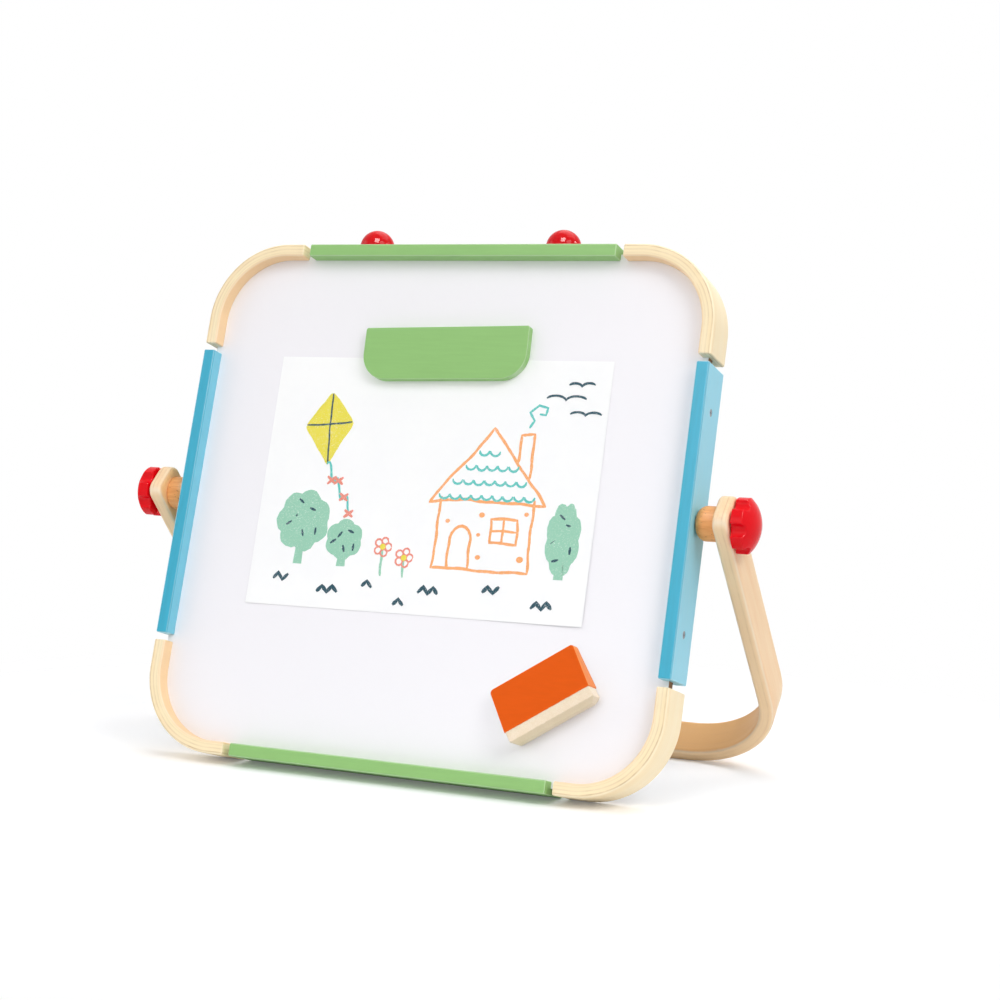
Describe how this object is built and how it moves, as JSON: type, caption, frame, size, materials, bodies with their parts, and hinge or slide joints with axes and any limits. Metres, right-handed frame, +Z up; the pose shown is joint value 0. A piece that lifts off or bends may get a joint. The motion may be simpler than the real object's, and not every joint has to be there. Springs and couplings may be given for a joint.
{
  "type": "portable whiteboard",
  "caption": "Tabletop magnetic whiteboard in a wooden frame, hung by clamp knobs in a bent plywood stand that doubles as a handle, with a paper clip and an eraser.",
  "frame": {"origin": "middle of the base, on the surface that it stands on", "axes": "+X to the right as seen by the person drawing, along the pivot axis; +Y to the back; +Z up"},
  "size_m": [0.548, 0.2738, 0.4393],
  "materials": {
    "white_enamel": "gloss white dry-wipe enamel",
    "chalkboard": "matt black chalkboard paint",
    "fibreboard": "raw fibreboard edge",
    "green_paint": "satin green paint on wood",
    "blue_paint": "satin blue paint on wood",
    "birch": "clear satin lacquer on bent birch plywood",
    "beech": "clear lacquered beech dowel",
    "red_plastic": "gloss red",
    "red_paint": "gloss red paint on wood",
    "orange_paint": "satin orange paint on wood",
    "felt": "cream wool felt",
    "paper": "uncoated white drawing paper",
    "steel": "zinc plated",
    "brass": "plain brass",
    "magnet": "nickel plated magnet"
  },
  "bodies": {
    "board": {"core_panel": "fibreboard", "whiteboard_sheet": "white_enamel", "chalkboard_sheet": "chalkboard", "top_rail": "green_paint", "bottom_rail": "green_paint", "left_rail": "blue_paint", "right_rail": "blue_paint", "corner_top_left": "birch", "corner_top_right": "birch", "corner_bottom_left": "birch", "corner_bottom_right": "birch", "side_rail_screws": "steel", "left_ball": "red_paint", "right_ball": "red_paint", "left_pivot_spacer": "beech", "right_pivot_spacer": "beech", "left_threaded_insert": "brass", "right_threaded_insert": "brass", "paper_sheet": "paper"},
    "stand": {"stand_bow": "birch"},
    "left_clamp": {"left_knob": "red_plastic", "left_clamp_bolt": "steel"},
    "right_clamp": {"right_knob": "red_plastic", "right_clamp_bolt": "steel"},
    "clip": {"clip_plate": "green_paint", "clip_magnets": "magnet"},
    "eraser": {"eraser_block": "orange_paint", "eraser_felt": "felt", "eraser_magnet": "magnet"}
  },
  "joints": [
    {"name": "stand_swing", "type": "hinge", "parent": "board", "child": "stand", "pos_m": [0, -0.06389, 0.21324], "axis": [1, 0, 0], "continuous": true},
    {"name": "left_knob_turn", "type": "hinge", "parent": "board", "child": "left_clamp", "pos_m": [0, -0.06389, 0.21324], "axis": [-1, 0, 0], "range_deg": [0, 360]},
    {"name": "right_knob_turn", "type": "hinge", "parent": "board", "child": "right_clamp", "pos_m": [0, -0.06389, 0.21324], "axis": [1, 0, 0], "range_deg": [0, 360]},
    {"name": "clip_pull", "type": "slide", "parent": "board", "child": "clip", "axis": [0, -0.9673, 0.2538], "range_m": [0, 0.08]},
    {"name": "eraser_pull", "type": "slide", "parent": "board", "child": "eraser", "axis": [0, -0.9673, 0.2538], "range_m": [0, 0.08]}
  ]
}
